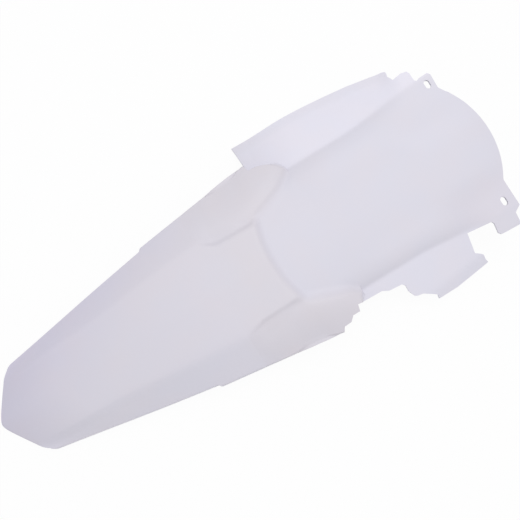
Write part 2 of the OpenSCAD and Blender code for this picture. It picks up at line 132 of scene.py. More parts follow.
@dataclass
class FenderForm:
    """Sizes of the moulding in millimetres, and the surface that they give.

    X points forward from the slot line, a is the distance from the middle, Z is up. A number
    beside a named place is a small offset from it, in millimetres too.
    """

    # The tail and its pointed end.
    tail_reach: float = 609.5
    wall: float = 2.5
    point_len: float = 34.0
    point_round: float = 6.0
    point_limit: float = 1.02
    point_fade: float = 120.0
    corner_w: float = 99.0
    corner_in: float = 4.0
    corner_drop: float = 3.0
    corner_round: float = 9.0
    tail_bulge: float = 0.7
    crest_back: float = 430.0
    crest_h: float = 24.49
    crest_fall: float = 6.0
    roof: float = 0.03
    roof_round: float = 3.0
    droop_h: float = 22.0
    droop_len: float = 85.0
    deck_rear_w: float = 80.0
    deck_front_w: float = 118.0
    band_min: float = 6.0
    bend_soft: float = 0.012
    # The rim with its jog, its lip and the flange along the shoulders.
    jog_back: float = 378.0
    jog_w: float = 176.7
    jog_out: float = 3.0
    jog_run: float = 3.0
    jog_ease: float = 30.0
    rim_h: float = -8.0
    lip_h: float = 6.0
    lip_run: float = 2.2
    lip_gap: float = 1.5
    flange_w: float = 4.2
    flange_len: float = 64.0
    flange_gap: float = 4.0
    flange_fade: float = 22.0
    flange_level: float = 0.84
    # The shoulders, their pockets and the steps down to the wings.
    shoulder_w: float = 222.0
    shoulder_front_h: float = 6.8
    pocket_back: float = 322.0
    pocket_slant: float = 22.0
    pocket_gap: float = 97.0
    pocket_depth: float = 7.5
    valley_share: float = 0.45
    bulge_h: float = 2.4
    wall_run: float = 6.0
    fillet_run: float = 12.0
    step_run: float = 5.0
    step_spread: float = 3.0
    right_step_out: float = 9.5
    # The seat line and the recess in front of it.
    seat_back: float = 256.5
    seat_bow: float = 8.0
    seat_run: float = 11.0
    seat_shift: float = 3.8
    seat_fade: float = 26.0
    side_run: float = 18.0
    recess_w: float = 122.0
    recess_h: float = 12.8
    floor_h: float = 8.0
    crown_h: float = 6.4
    roll_from: float = 0.62
    crease_depth: float = 7.6
    crease_soft: float = 1.3
    crease_w: float = 161.0
    crease_front_w: float = 178.0
    # The wings, with the hem, the twist at the rear and the ear on the right.
    wing_back: float = 226.0
    wing_w: float = 287.4
    runout_back: float = 187.0
    wing_fall_rear: float = 0.36
    wing_fall_front: float = 0.5
    wing_taper: float = 17.5
    taper_back: float = 160.0
    taper_len: float = 145.0
    hem_w: float = 14.0
    hem_fall: float = 0.55
    hem_soft: float = 6.0
    hem_span: Span = (-12.0, -35.0)
    twist_h: float = 7.0
    twist_len: float = 52.0
    twist_slant: float = 0.35
    twist_ease: float = 20.0
    ear_level: float = 0.75
    ear_span: Span = (-45.0, -22.0)
    ear_side_span: Span = (20.0, 38.0)
    ear_reach: float = 110.8
    cutout_front_back: float = 138.0
    strip_reach: float = 91.5
    window_back: float = 52.5
    window_len: float = 28.8
    # The front edge with its tabs and slots.
    nose_reach: float = 29.5
    nose_r: float = 118.0
    nose_half: float = 58.0
    nose_shift: float = 2.5
    nose_fade: float = 90.0
    slot_spacing: float = 158.0
    slot_w: float = 6.5
    slot_length: float = 10.5
    tab_t: float = 3.2
    tab_front: float = 12.0
    tab_span: Span = (-85.0, -9.0)
    tab_side_span: Span = (-46.0, -7.0)

    def __post_init__(self) -> None:
        """Works out the places along the bike from the distances."""
        self.tail_x = -self.tail_reach
        self.corner_x = self.tail_x + self.point_len
        self.jog_x = -self.jog_back
        self.pocket_x = -self.pocket_back
        self.pocket_in_x = self.pocket_x + self.pocket_slant
        self.seat_x = -self.seat_back
        self.wing_x = -self.wing_back
        self.lip_end_x = self.wing_x - self.lip_gap
        self.runout_x = -self.runout_back
        self.runout = self.runout_x - self.wing_x
        self.rim_top = self.rim_h + self.lip_h

    def point_curve(self, a: Array) -> Array:
        """How far the pointed end lies ahead of its point: a V with a rounded point and corners.

        Args:
            a: Distances from the middle.

        Returns:
            How far ahead the end lies at each distance.
        """
        half, r, drop = self.corner_w / 2, self.point_round, self.corner_drop
        straight = (np.sqrt(a * a + r * r) - r) / (math.hypot(half, r) - r)
        turn = np.maximum(0.0, a - half + self.corner_round) / self.corner_round
        straight = np.minimum(self.point_limit, straight)
        return (self.point_len - drop) * straight + drop * np.minimum(1.0, turn * turn)

    def rim_behind(self, x: Array) -> Array:
        """Half width of the tail: a gentle taper with a slight bulge, drawn in at the corner.

        Args:
            x: Places along the motorcycle.

        Returns:
            The half width at each place.
        """
        u = clamp01((x - self.corner_x) / (self.jog_x - self.corner_x))
        taper = mix(self.corner_w / 2 + self.corner_in, self.jog_w / 2, u)
        drawn = self.corner_in * clamp01(1 - (x - self.corner_x) / self.corner_round) ** 2
        return taper + self.tail_bulge * np.sin(math.pi * u ** 1.5) - drawn

    def rim_ahead(self, x: Array) -> Array:
        """Half width of the shoulders: a straight taper from the jog to the wings."""
        u = (x - self.jog_x) / (self.wing_x - self.jog_x)
        return mix(self.jog_w / 2 + self.jog_out, self.shoulder_w / 2, np.minimum(u, 1.0))

    def rim_half(self, x: Array) -> Array:
        """Half width of tail and shoulders, with the jog between them."""
        jog = fade(x, self.jog_x, (-self.jog_run / 2, self.jog_run / 2))
        return mix(self.rim_behind(x), self.rim_ahead(x), jog)

    def band_rim(self, x: Array) -> Array:
        """Half width at which the bands meet the lip: the rim's, with the jog spread out."""
        spread = fade(x, self.jog_x, (-self.jog_ease, self.jog_ease))
        return mix(self.rim_behind(x), self.rim_ahead(x), spread) - self.lip_run

    def flange(self, x: Array) -> Array:
        """Width of the small flange that turns out from the lip along the shoulders."""
        rise = fade(x, self.wing_x - self.flange_len, (0.0, self.flange_fade))
        return self.flange_w * rise * (1 - fade(x, self.wing_x - self.flange_gap, (-self.flange_fade, 0.0)))

    def wing_half(self, x: Array) -> Array:
        """Half width over the wings, which narrow toward the front by a power curve."""
        return self.wing_w / 2 - self.wing_taper * clamp01((x + self.taper_back) / self.taper_len) ** 1.6

    def crease_half(self, x: Array) -> Array:
        """Half width of the crease between the recess floor and the wing."""
        return soft_line(x, [
            (-105, self.crease_w / 2),
            (-48, mix(self.crease_w, self.crease_front_w, 0.68) / 2),
            (-12, self.crease_front_w / 2)], 12)

    def step_half(self, x: Array) -> Array:
        """Half width at which the shoulder steps down to the wing."""
        outer = self.shoulder_w / 2
        return soft_line(x, [
            (self.wing_x, outer - 8.5),
            (self.wing_x + 8, outer - 8),
            (self.wing_x + 0.55 * self.runout, outer - 13.5),
            (self.wing_x + 0.86 * self.runout, mix(self.crease_w / 2, outer, 0.33)),
            (self.runout_x, self.crease_w / 2 + 0.5)], 3)

    def step_shift(self, x: Array) -> Array:
        """How much further out the right step lies, where the exhaust cut-out takes it away."""
        return self.right_step_out * (1 - fade(x, self.wing_x, (25.0, 37.0)))

    def edge_half(self, x: Array) -> Array:
        """Half width of the deck's edge line, then of the pocket wall, then of the recess.

        Args:
            x: Places along the motorcycle.

        Returns:
            The half width at each place.
        """
        rear, front, gap = self.deck_rear_w / 2, self.deck_front_w / 2, self.pocket_gap / 2
        recess, crease = self.recess_w / 2, self.crease_w / 2
        behind = soft_line(x, [
            (self.corner_x, rear), (mix(self.corner_x, self.jog_x, 0.55), mix(rear, front, 0.16)),
            (self.jog_x, mix(rear, front, 0.72)), (self.pocket_x, front)], 14)
        ahead = soft_line(x, [
            (self.pocket_x, front), (self.pocket_in_x, gap + 1), (self.seat_x, gap),
            (self.seat_x + 6, gap + 2), (self.wing_x - 3, mix(recess, crease, -0.2)),
            (self.wing_x + 0.5 * self.runout, mix(recess, crease, 0.21)),
            (self.wing_x + 0.8 * self.runout, mix(recess, crease, 0.49)),
            (self.runout_x - 1, crease - 2), (self.runout_x + 40, recess)], 4)
        return mix(behind, ahead, fade(x, self.pocket_x, (-8.0, 4.0)))

    def turn_run(self, x: Array) -> Array:
        """Width over which the surface turns down at the pocket wall, then at the recess side."""
        return mix(self.wall_run, self.side_run, fade(x, self.seat_x, (-6.0, 18.0)))

    def tail_deck(self, x: Array, ahead: Array) -> Array:
        """Height of the tail deck in the middle: a parabola, less the square-law droop of the end."""
        u = (x + self.crest_back) / (self.crest_back - self.seat_back)
        return (self.crest_h - self.crest_fall * u * u
                - self.droop_h * clamp01(1 - ahead / self.droop_len) ** 2)

    def roof_deck(self, x: Array, a: Array, ahead: Array) -> Array:
        """Height of the tail deck with its very flat roof: a hyperbola across, rounded in the middle."""
        return self.tail_deck(x, ahead) - self.roof * np.sqrt(a * a + self.roof_round ** 2)

    def tail_height(self, x: Array, a: Array, ahead: Array) -> Array:
        """Height of the tail: the roofed deck, bent over a rounded edge into a straight band.

        Args:
            x: Places along the motorcycle.
            a: Distances from the middle.
            ahead: Distances ahead of the pointed end.

        Returns:
            The height at each place.
        """
        rim = self.band_rim(x)
        edge = np.minimum(self.edge_half(np.minimum(x, self.pocket_x)), rim - self.band_min)
        deck = self.roof_deck(x, a, ahead)
        t = (a - edge) / (rim - edge)
        return deck - (deck - self.rim_top) * ((t + np.sqrt(t * t + self.bend_soft)) / 2)

    def lip_drop(self, x: Array, a: Array, ahead: Array) -> Array:
        """How far the lip has turned down: the square of the way past its start, less on the flange.

        Args:
            x: Places along the motorcycle.
            a: Distances from the middle.
            ahead: Distances ahead of the pointed end.

        Returns:
            The drop at each place.
        """
        flange = self.flange(x)
        side = np.maximum(0.0, (a - self.rim_half(x) + self.lip_run + flange) / self.lip_run) ** 2
        side = np.minimum(side, 1.0) * (1 - self.flange_level * flange / self.flange_w)
        end = np.maximum(0.0, (self.lip_run - ahead) / self.lip_run) ** 2
        return self.lip_h * (side + end - side * np.minimum(1, end))

    def shoulder_height(self, x: Array, a: Array) -> Array:
        """Height of a shoulder: a valley at the wall, a sine bulge and a power-law fall to the rim.

        Args:
            x: Places along the motorcycle.
            a: Distances from the middle.

        Returns:
            The height at each place.
        """
        inner = self.edge_half(np.minimum(x, self.runout_x))
        q = clamp01((a - inner) / (self.rim_half(x) - self.lip_run - self.flange(x) - inner))
        pocket_deck = float(self.tail_deck(self.pocket_in_x, self.droop_len))
        seat_deck = float(self.tail_deck(self.seat_x, self.droop_len))
        valley = soft_line(x, [
            (self.pocket_in_x, pocket_deck - self.pocket_depth - 1),
            (self.seat_x, seat_deck - self.pocket_depth + 1),
            (self.wing_x, self.recess_h - self.valley_share * (seat_deck - self.recess_h)),
            (self.wing_x + 0.55 * self.runout, self.shoulder_front_h),
            (self.runout_x, self.floor_h - 10)], 6)
        return mix(valley, self.rim_top, q ** 1.7) + self.bulge_h * np.sin(math.pi * q ** 0.8)

    def floor_height(self, x: Array, a: Array) -> Array:
        """Height of the recess floor: a square-law crown, rolled down to the crease, level at the tabs.

        Args:
            x: Places along the motorcycle.
            a: Distances from the middle.

        Returns:
            The height at each place.
        """
        mid = soft_line(x, [
            (self.seat_x, self.recess_h), (self.runout_x, self.floor_h), (-100, self.floor_h),
            (0, self.floor_h - 2.5), (self.nose_reach - 9, self.floor_h - 3.6),
            (self.nose_reach, self.floor_h - 5.2)], 6)
        half = self.crease_w / 2
        begin = self.roll_from * half
        roll = np.maximum(0, (a - begin) / (self.crease_half(x) - begin)) ** 3.6
        free = mid - self.crown_h * (a / half) ** 2 - self.crease_depth * roll
        tab = ramp(x, *self.tab_span) * fade(a, self.slot_spacing / 2, self.tab_side_span)
        return mix(free, 0.0, tab)

    def wing_height(self, x: Array, a: Array) -> Array:
        """Height of a wing: a straight fall, a steeper hem, and a twist down toward the rear edge.

        Args:
            x: Places along the motorcycle.
            a: Distances from the middle.

        Returns:
            The height at each place.
        """
        crease = self.crease_half(x)
        out = a - crease
        fall = mix(self.wing_fall_rear, self.wing_fall_front, clamp01((x - self.wing_x) / -self.wing_x))
        fall = fall * (1 - self.ear_level * ramp(x, *self.ear_span) * (1 - ramp(out, *self.ear_side_span)))
        hem = a - self.wing_half(x) + self.hem_w
        hem_drop = self.hem_fall * (hem + np.sqrt(hem * hem + self.hem_soft)) / 2
        hem_drop = hem_drop * ramp(x, *self.hem_span)
        fold = self.wing_x + self.twist_len + self.twist_slant * out
        twist = self.twist_h * clamp01((fold - x) / self.twist_len) ** 1.6 * clamp01(out / self.twist_ease)
        return self.floor_height(x, crease) - fall * out - hem_drop - twist

    def zones(self, x: Array, a: Array, right: Array | bool) -> tuple[Array, Array, Array]:
        """Shares that tell the zones apart: ahead of the seat line, past the wall, and on a wing.

        The seat line is a parabola. It and the walls lie a little further to the right.

        Args:
            x: Places along the motorcycle.
            a: Distances from the middle.
            right: Whether each place, or all of them, lie on the right.

        Returns:
            The three shares at each place.
        """
        gap = self.pocket_gap / 2
        shift = self.seat_shift * ramp(x, self.pocket_x - 6, self.pocket_in_x + 2)
        shift = shift * (1 - ramp(x, self.wing_x + 8, self.runout_x)) * np.where(right, 1.0, -1.0)
        line = self.seat_x + self.seat_bow * (np.clip(a - shift, 0, gap) / gap) ** 2
        seat = fade(x, line, (-self.seat_run / 2, self.seat_run / 2))
        start = self.edge_half(x) + shift - self.turn_run(x) / 2
        end = self.edge_half(x) + shift + self.turn_run(x) / 2
        fillet = self.fillet_run * (1 - fade(x, self.seat_x, (-22.0, 2.0)))
        wall = mix(ramp(a, start, end), ramp(a, start, end + fillet), 0.5)
        step = self.step_half(x) + self.step_shift(x) * right
        half_run = self.step_run / 2 + self.step_spread * fade(x, self.wing_x, (22.0, 34.0))
        stepped = ramp(a, step - half_run, step + half_run)
        creased = 1.0 / (1.0 + np.exp(np.clip((self.crease_half(x) - a) / self.crease_soft, -60, 60)))
        wing = np.where(x < self.runout_x, stepped, creased) * (x > self.lip_end_x)
        return seat, wall, wing

    def height(self, x: Array, a: Array, side: Side) -> Array:
        """Height of the whole upper surface: the zones' heights, mixed by the shares of the zones.

        Args:
            x: Places along the motorcycle.
            a: Distances from the middle.
            side: Half of the motorcycle that they lie in.

        Returns:
            The height at each place.
        """
        ahead = x - self.tail_x - self.point_curve(a)
        seat, wall, wing = self.zones(x, a, side is Side.RIGHT)
        tail = self.tail_height(x, a, ahead)
        floor = self.floor_height(x, a)
        deck = mix(self.roof_deck(x, a, ahead), floor, seat)
        open_part = mix(deck, self.shoulder_height(x, a), wall)
        inner = mix(tail, open_part, ramp(x, self.pocket_x, self.pocket_in_x))
        lipped = inner - self.lip_drop(x, a, ahead)
        stepped = mix(inner, self.wing_height(x, a), wing)
        front = mix(floor, self.wing_height(x, a), wing)
        return np.where(x < self.lip_end_x, lipped, np.where(x < self.runout_x, stepped, front))

    def row_x(self, base: Array, a: Array, side: Side = Side.LEFT) -> Array:
        """Place along the bike of a row's points, which follow the pointed end, the seat line and the nose.

        Args:
            base: Places of the rows in the middle.
            a: Distances from the middle.
            side: Half of the motorcycle that they lie in.

        Returns:
            The place of each point.
        """
        gap = self.pocket_gap / 2
        point = self.point_curve(a) * clamp01(
            (self.tail_x + self.point_fade - base) / (self.point_fade - self.lip_run))
        seat = self.seat_bow * (np.minimum(a, gap) / gap) ** 2 * clamp01(
            1 - abs(base - self.seat_x) / self.seat_fade)
        arc_a = np.minimum(a, self.nose_half) - self.nose_shift * side.value
        arc = (self.nose_r - np.sqrt(self.nose_r ** 2 - arc_a ** 2)) * clamp01(
            (base + self.nose_fade) / (self.nose_reach + self.nose_fade))
        return base + point + seat - arc


@dataclass(frozen=True)
class ZoneTones:
    """How much of each zone's colour, which paints light and shade, shows at a place. A span is a pair of
    places or of offsets.
    """

    form: FenderForm
    # Painted light on the wings: fading in along the left wing, a fixed share on the right.
    left_wing_span: Span = (-32.0, 72.0)
    right_wing: float = 0.85
    edge_span: Span = (-4.0, 4.0)
    # Painted shade on the tail deck behind the seat line, as its share behind the pockets.
    deck_share: float = 0.35
    front_span: Span = (-85.0, -40.0)
    # Painted light along the sides of the front.
    glow: float = 0.15
    glow_len: float = 55.0
    glow_side_span: Span = (30.0, 60.0)
    glow_in: float = 30.0
    # Painted shade at the right front.
    shade: float = 0.9
    shade_side_span: Span = (35.0, 60.0)
    # Painted light on the right band: less band colour and a little wing colour.
    sunlit_band: float = 0.8
    sunlit_wing: float = 0.1

    def shares(self, x: Array, y: Array) -> dict[Zone, Array]:
        """Shares of the zone colours, which paint light and shade and follow the deck's edge, the walls and
        the steps.

        Args:
            x: Places along the motorcycle.
            y: Places across it, negative on the right.

        Returns:
            The share of each zone at each place.
        """
        f = self.form
        a = np.abs(y)
        right = y < 0
        seat, wall, wing = f.zones(x, a, right)
        recess = seat * np.where(x < f.runout_x, 1 - wall, 1.0)
        # No painted wing light on the right ear, ahead of the window.
        ear = right * fade(x, -f.window_back, (0.0, f.window_len))
        wing_tone = np.where(right, self.right_wing, fade(x, f.wing_x, self.left_wing_span))
        shoulder = (1 - recess) * (1 - wing) * wall * ramp(x, f.pocket_x - 30, f.pocket_in_x + 10)
        sunlit = right * (x < f.pocket_x) * fade(a, f.edge_half(x), self.edge_span)
        band = (1 - recess) * (1 - wing) - shoulder
        # Painted shade: the darker colours behind the seat line.
        behind_seat = (1 - seat) * (1 - wall) * mix(
            self.deck_share, 1.0, ramp(x, f.pocket_x - 10, f.seat_x - 25))
        front = ramp(x, *self.front_span)
        # Painted light along the sides of the front.
        glow = self.glow * (1 - wing) * fade(x, f.runout_x, (0.0, self.glow_len))
        glow = glow * ramp(a + np.where(right, 0.0, self.glow_in * front), *self.glow_side_span)
        glow = glow * (1 - right * front)
        shade = self.shade * right * front * ramp(a, *self.shade_side_span) * (1 - wing)
        return {Zone.BAND: band * (1 - self.sunlit_band * sunlit) * (1 - behind_seat) + shade,
                Zone.SHOULDER: shoulder + behind_seat,
                Zone.WING: wing * (1 - ear) * wing_tone + glow + self.sunlit_wing * sunlit}


@dataclass
class FenderSheet:
    """The moulding as one closed mesh: a grid over the form, a wall under it, and its trimmed outlines.

    Sizes are in millimetres. Each pair of edge_profile is a share of the way down a free edge
    and how far it bulges there, as a share of edge_round.
    """

    form: FenderForm = field(default_factory=FenderForm)
    row_pitch: float = 2.9
    fine_pitch: float = 0.9
    row_samples: int = 6000
    deck_cells: int = 18
    wall_cells: int = 11
    shoulder_cells: int = 16
    rim_cells: int = 7
    wing_cells: int = 17
    crease_run: float = 5.0
    edge_round: float = 0.5
    edge_profile: Line = ((0.12, 0.72), (0.5, 1.0), (0.88, 0.72))
    tab_back: float = 14.0
    tab_side: float = 12.0
    notch: float = 2.0
    relax_steps: int = 60
    relax_share: float = 0.7
    fold_cosine: float = 0.25
    cutter_depth: float = 90.0
    sharp_deg: float = 38.0

    def rows(self) -> Array:
        """Places of the rows, closest where the surface turns: equal steps of a summed density.

        Returns:
            The places, in rising order.
        """
        f = self.form
        x = np.linspace(f.tail_x, f.nose_reach, self.row_samples)
        density = np.full_like(x, 1 / self.row_pitch)
        turns = [(f.tail_x, 3.0), (f.jog_x, 2.5), (f.pocket_x, 6.0), (f.pocket_in_x, 8.0), (f.seat_x, 4.0),
                 (f.wing_x, 5.0), (f.runout_x, 5.0), (f.nose_reach, 5.0)]
        for place, spread in turns:
            near = np.exp(-((x - place) / spread) ** 2)
            density = np.maximum(density, near / self.fine_pitch)
        total = np.concatenate([[0], np.cumsum((density[1:] + density[:-1]) / 2 * np.diff(x))])
        steps = np.linspace(0, total[-1], int(total[-1]) + 1)
        places = np.interp(steps, total, x)
        from_wing = places - f.wing_x
        clear = places[(from_wing < -self.notch - self.edge_round) | (from_wing > 3 * self.edge_round)]
        return np.sort(np.append(clear, [f.wing_x - self.notch, f.wing_x]))

    def columns(self, base: Array) -> tuple[Array, Array]:
        """Distances from the middle of every point of the rows, from the middle to the wing's edge.

        The knots of a row are the middle, both sides of the deck's edge, the start and end of
        the rim or step, and the wing's edge. Between knots the points are evenly spaced.

        Args:
            base: Places of the rows.

        Returns:
            The distances, one row of points for each place, and which of them exist.
        """
        f = self.form
        side_x = f.row_x(base, np.full_like(base, f.wing_w))
        deck_x = f.row_x(base, np.full_like(base, f.corner_w / 3))
        tail = base < f.wing_x
        stepped = side_x < f.runout_x
        turn = np.where(stepped, f.step_run, self.crease_run)
        middle = np.where(stepped, f.step_half(side_x), f.crease_half(side_x))
        far = np.where(tail, f.rim_half(side_x), middle + turn / 2)
        near = np.where(tail, far - f.lip_run - f.flange(side_x), far - turn)
        widening = 2 * f.seat_shift * ramp(base, f.pocket_x - 6, f.pocket_in_x)
        run = f.turn_run(base) + widening * (1 - ramp(base, f.seat_x, f.wing_x))
        edge = np.minimum(f.edge_half(deck_x), f.rim_half(side_x) - 2 * f.band_min)
        outside = np.minimum(edge + run / 2, near - 1.5)
        tip = np.maximum(f.wing_half(side_x), far + 1)
        knots = [np.zeros_like(base), edge - run / 2, outside, near, far, tip]
        counts = [self.deck_cells, self.wall_cells, self.shoulder_cells, self.rim_cells, self.wing_cells]
        parts = [np.zeros((len(base), 1))]
        for k, count in enumerate(counts):
            share = np.linspace(0, 1, count + 1)[1:]
            parts.append(knots[k][:, None] + (knots[k + 1] - knots[k])[:, None] * share)
        out = np.concatenate(parts, axis=1)
        exists = np.ones_like(out, bool)
        exists[tail, out.shape[1] - self.wing_cells:] = False
        return out, exists

    def upper(self) -> tuple[Array, Array]:
        """Works out the upper surface over both halves.

        Returns:
            Its points, one row for each place along the motorcycle, and which of them exist.
        """
        base = self.rows()
        a, exists = self.columns(base)
        halves = []
        for side in Side:
            x = self.form.row_x(base[:, None], a, side)
            halves.append(np.stack([x, a * side.value, self.form.height(x, a, side)], -1))
        left, right = halves
        return np.concatenate([right[:, :0:-1], left], 1), np.concatenate([exists[:, :0:-1], exists], 1)

    def normals(self, points: Array, exists: Array) -> Array:
        """Unit normals of the grid: the cross product of its two central differences.

        Args:
            points: Points of the grid.
            exists: Which of them exist.

        Returns:
            The normal at each point.
        """
        held = points.copy()
        for col in range(held.shape[1] // 2, held.shape[1]):
            gone = ~exists[:, col]
            held[gone, col] = held[gone, col - 1] + np.array([0, 1.0, 0])
            mirror = held.shape[1] - 1 - col
            held[gone, mirror] = held[gone, mirror + 1] - np.array([0, 1.0, 0])
        along = np.gradient(held, axis=0)
        across = np.gradient(held, axis=1)
        last = self.wing_cells
        wing_row = int(np.argmax(exists[:, 0]))
        if wing_row > 0:
            edge = np.zeros(exists.shape[1], bool)
            edge[:last] = edge[-last:] = True
            along[wing_row, edge] = held[wing_row + 1, edge] - held[wing_row, edge]
            left = exists.shape[1] - last - 1
            across[:wing_row, left] = held[:wing_row, left] - held[:wing_row, left - 1]
            across[:wing_row, last] = held[:wing_row, last + 1] - held[:wing_row, last]
        n = np.cross(along, across)
        return n / np.linalg.norm(n, axis=-1, keepdims=True)

    def unfold(self, under: Array, exists: Array, normal: Array) -> Array:
        """Smooths away the small loops that the offset makes under sharp bends.

        Where a cell of the lower grid faces against the upper normal, its corners and their
        neighbours move to the mean of the points beside them, over and over.

        Args:
            under: Lower points of the grid.
            exists: Which of the points exist.
            normal: Upper normals at the points.

        Returns:
            The lower points without the loops.
        """
        out = under.copy()
        solid = np.logical_and.reduce(cell_corners(exists))
        mean_normal = sum(cell_corners(normal))
        inner = out[1:-1, 1:-1]
        free = exists[1:-1, 1:-1] & exists[:-2, 1:-1] & exists[2:, 1:-1]
        free = free & exists[1:-1, :-2] & exists[1:-1, 2:]
        for _ in range(self.relax_steps):
            cross = np.cross(out[1:, 1:] - out[:-1, :-1], out[:-1, 1:] - out[1:, :-1])
            size = np.linalg.norm(cross, axis=-1) * np.linalg.norm(mean_normal, axis=-1) + 1e-9
            folded = solid & ((cross * mean_normal).sum(-1) / size < self.fold_cosine)
            if not folded.any():
                break
            near = np.logical_or.reduce(cell_corners(folded))
            mean = (out[:-2, 1:-1] + out[2:, 1:-1] + out[1:-1, :-2] + out[1:-1, 2:]) / 4
            inner[:] = np.where((near & free)[..., None], mix(inner, mean, self.relax_share), inner)
        return out

    def closed_arrays(self) -> tuple[Array, Array]:
        """Vertices and quads of the closed sheet, before it is trimmed.

        The lower side lies a wall's thickness down the normals. Each free edge is closed by a
        strip whose middle bulges out to the outline, so that the edge is rounded.

        Returns:
            The vertices in millimetres, and four vertex numbers for each face.
        """
        points, exists = self.upper()
        n = self.normals(points, exists)
        f = self.form
        outside = np.abs(points[..., 1]) > f.slot_spacing / 2 - self.tab_side
        wall = np.where(outside & (points[..., 0] > -self.tab_back), f.tab_t, f.wall)
        number = np.where(exists, np.cumsum(exists.ravel()).reshape(exists.shape) - 1, -1)
        lower = self.unfold(points - n * wall[..., None], exists, n)[exists]
        top, normal = points[exists], n[exists]
        count = len(top)
        corners = np.stack(cell_corners(number), -1)[..., [0, 1, 3, 2]]
        faces = corners[(corners >= 0).all(-1)]
        edges = np.concatenate([faces[:, [k, (k + 1) % 4]] for k in range(4)])
        key = edges[:, 0].astype(np.int64) * count + edges[:, 1]
        back = edges[:, 1].astype(np.int64) * count + edges[:, 0]
        rim = edges[~np.isin(key, back)]
        run = top[rim[:, 1]] - top[rim[:, 0]]
        outward = np.zeros_like(top)
        length = np.zeros((count, 1))
        for end in (0, 1):
            side = np.cross(run, normal[rim[:, end]])
            np.add.at(outward, rim[:, end], side)
            np.add.at(length, rim[:, end], np.linalg.norm(side, axis=1, keepdims=True))
        outward = outward / np.maximum(length, 1e-9)
        top = top - outward * self.edge_round
        under = lower - outward * self.edge_round
        rim_points = np.unique(rim)
        place = np.full(count, -1)
        place[rim_points] = np.arange(len(rim_points))
        rings = []
        levels = [rim]
        for share, bulge in self.edge_profile:
            levels.append(2 * count + len(rings) * len(rim_points) + place[rim])
            ring = mix(top[rim_points], under[rim_points], share)
            rings.append(ring + outward[rim_points] * self.edge_round * bulge)
        levels.append(count + rim)
        strips = [np.concatenate([above[:, ::-1], below], 1) for above, below in zip(levels, levels[1:])]
        return np.concatenate([top, under, *rings]), np.concatenate([faces, faces[:, ::-1] + count, *strips])

    def outlines(self) -> dict[str, list[Point]]:
        """Plan outlines of what is trimmed away.

        Returns:
            The corner points of each outline, in millimetres.
        """
        f = self.form
        wing, front, tab = f.wing_x, -f.cutout_front_back, f.tab_front
        rear = -f.window_back
        window_front = rear + f.window_len
        out, trim = -f.wing_w / 2 - 10, -f.wing_w / 2 + 6.4
        jag, strip, ear, edge = -f.shoulder_w / 2, -f.strip_reach, -f.ear_reach, f.crease_front_w / 2
        half, taper = (float(f.wing_half(np.float64(place))) for place in (-24, -72))
        return {
            "exhaust": [
                (wing - 3.2, jag - 0.4), (wing + 0.2, jag + 6), (wing + 9.3, jag + 6.5),
                (wing + 14.8, jag + 12), (wing + 23.6, jag + 11.7), (wing + 25.4, strip),
                (wing + 36, strip - 1.5), (wing + 58, strip - 2.3), (front - 22, strip - 6.4),
                (front - 6, strip - 7.8), (front - 3, strip - 11.2), (front - 3, strip - 18.6),
                (front + 1.2, strip - 27.1), (front + 4, strip - 28.8), (front + 11, strip - 30),
                (front + 26.3, strip - 40.2), (front + 26.5, trim), (front + 60, trim), (front + 60, out),
                (wing - 3.2, out)],
            "window": [
                (rear, -edge + 0.6), (rear - 1.2, ear - 2), (rear + 4.6, ear - 6.2), (rear + 7.2, ear - 8.8),
                (rear + 8.4, ear - 15.4), (rear + 11.2, ear - 21), (rear + 12, out), (tab + 30, out),
                (tab + 30, ear - 1.4), (window_front + 5, ear + 1.5), (window_front + 2.2, ear + 2),
                (window_front, ear + 5), (window_front + 1.2, -edge - 5.7), (window_front, -edge - 2.6)],
            "right_front": [
                (tab + 1.2, -58), (tab + 0.6, -edge - 2.2), (tab - 7.6, -edge - 7.4), (tab - 8.2, -edge - 16),
                (tab - 8.2, ear - 12), (tab + 30, ear - 12), (tab + 30, -58)],
            "left_front": [
                (-72, taper + 20), (-72, taper), (-45, half + 0.4), (-36, half - 2.6), (-28.6, half - 4.4),
                (-26.8, half - 7.4), (-30.8, half - 15.5), (-29, half - 22.8), (-18, half - 21.6),
                (-11.4, half - 23.4), (-10, half - 27), (-10.2, edge + 1.8), (-8.2, edge - 0.2),
                (-4.6, edge + 1.2), (6.6, edge + 1.6), (tab - 2.9, edge - 2), (tab - 3.6, 76),
                (tab - 3.8, 69.5), (tab + 0.8, 61.6), (tab + 4.6, 57), (tab + 30, 57),
                (tab + 30, taper + 20)],
        }

    def slot_outline(self, side: Side) -> list[Point]:
        """Outline of one slot: two half circles joined by straight flanks.

        Args:
            side: Half of the motorcycle that the slot lies in.

        Returns:
            Its corner points, in millimetres.
        """
        f = self.form
        r = f.slot_w / 2
        turn = np.linspace(0, math.pi, 17)
        upper = np.stack([r * np.cos(turn), f.slot_length / 2 - r + r * np.sin(turn)], -1)
        ring = np.concatenate([upper, -upper])
        return [tuple(p) for p in ring + np.array([0.0, side.value * f.slot_spacing / 2])]

    def cutter(self, name: str, outline: Line) -> bpy.types.Object:
        """Adds an upright prism over an outline, which the caller removes.

        Args:
            name: Name of the cutter object.
            outline: Its corner points, in millimetres.

        Returns:
            The cutter.
        """
        ring = np.array(outline)
        area = np.sum(ring[:, 0] * np.roll(ring[:, 1], -1) - ring[:, 1] * np.roll(ring[:, 0], -1))
        ring = ring if area > 0 else ring[::-1]
        count = len(ring)
        deep = self.cutter_depth
        vertices = [(x * MM, y * MM, z * MM) for z in (-deep, deep) for x, y in ring]
        faces = [list(range(count))[::-1], list(range(count, 2 * count))]
        for k in range(count):
            ahead = (k + 1) % count
            faces.append([k, ahead, count + ahead, count + k])
        mesh = bpy.data.meshes.new(name)
        mesh.from_pydata(vertices, [], faces)
        return linked(name, mesh)

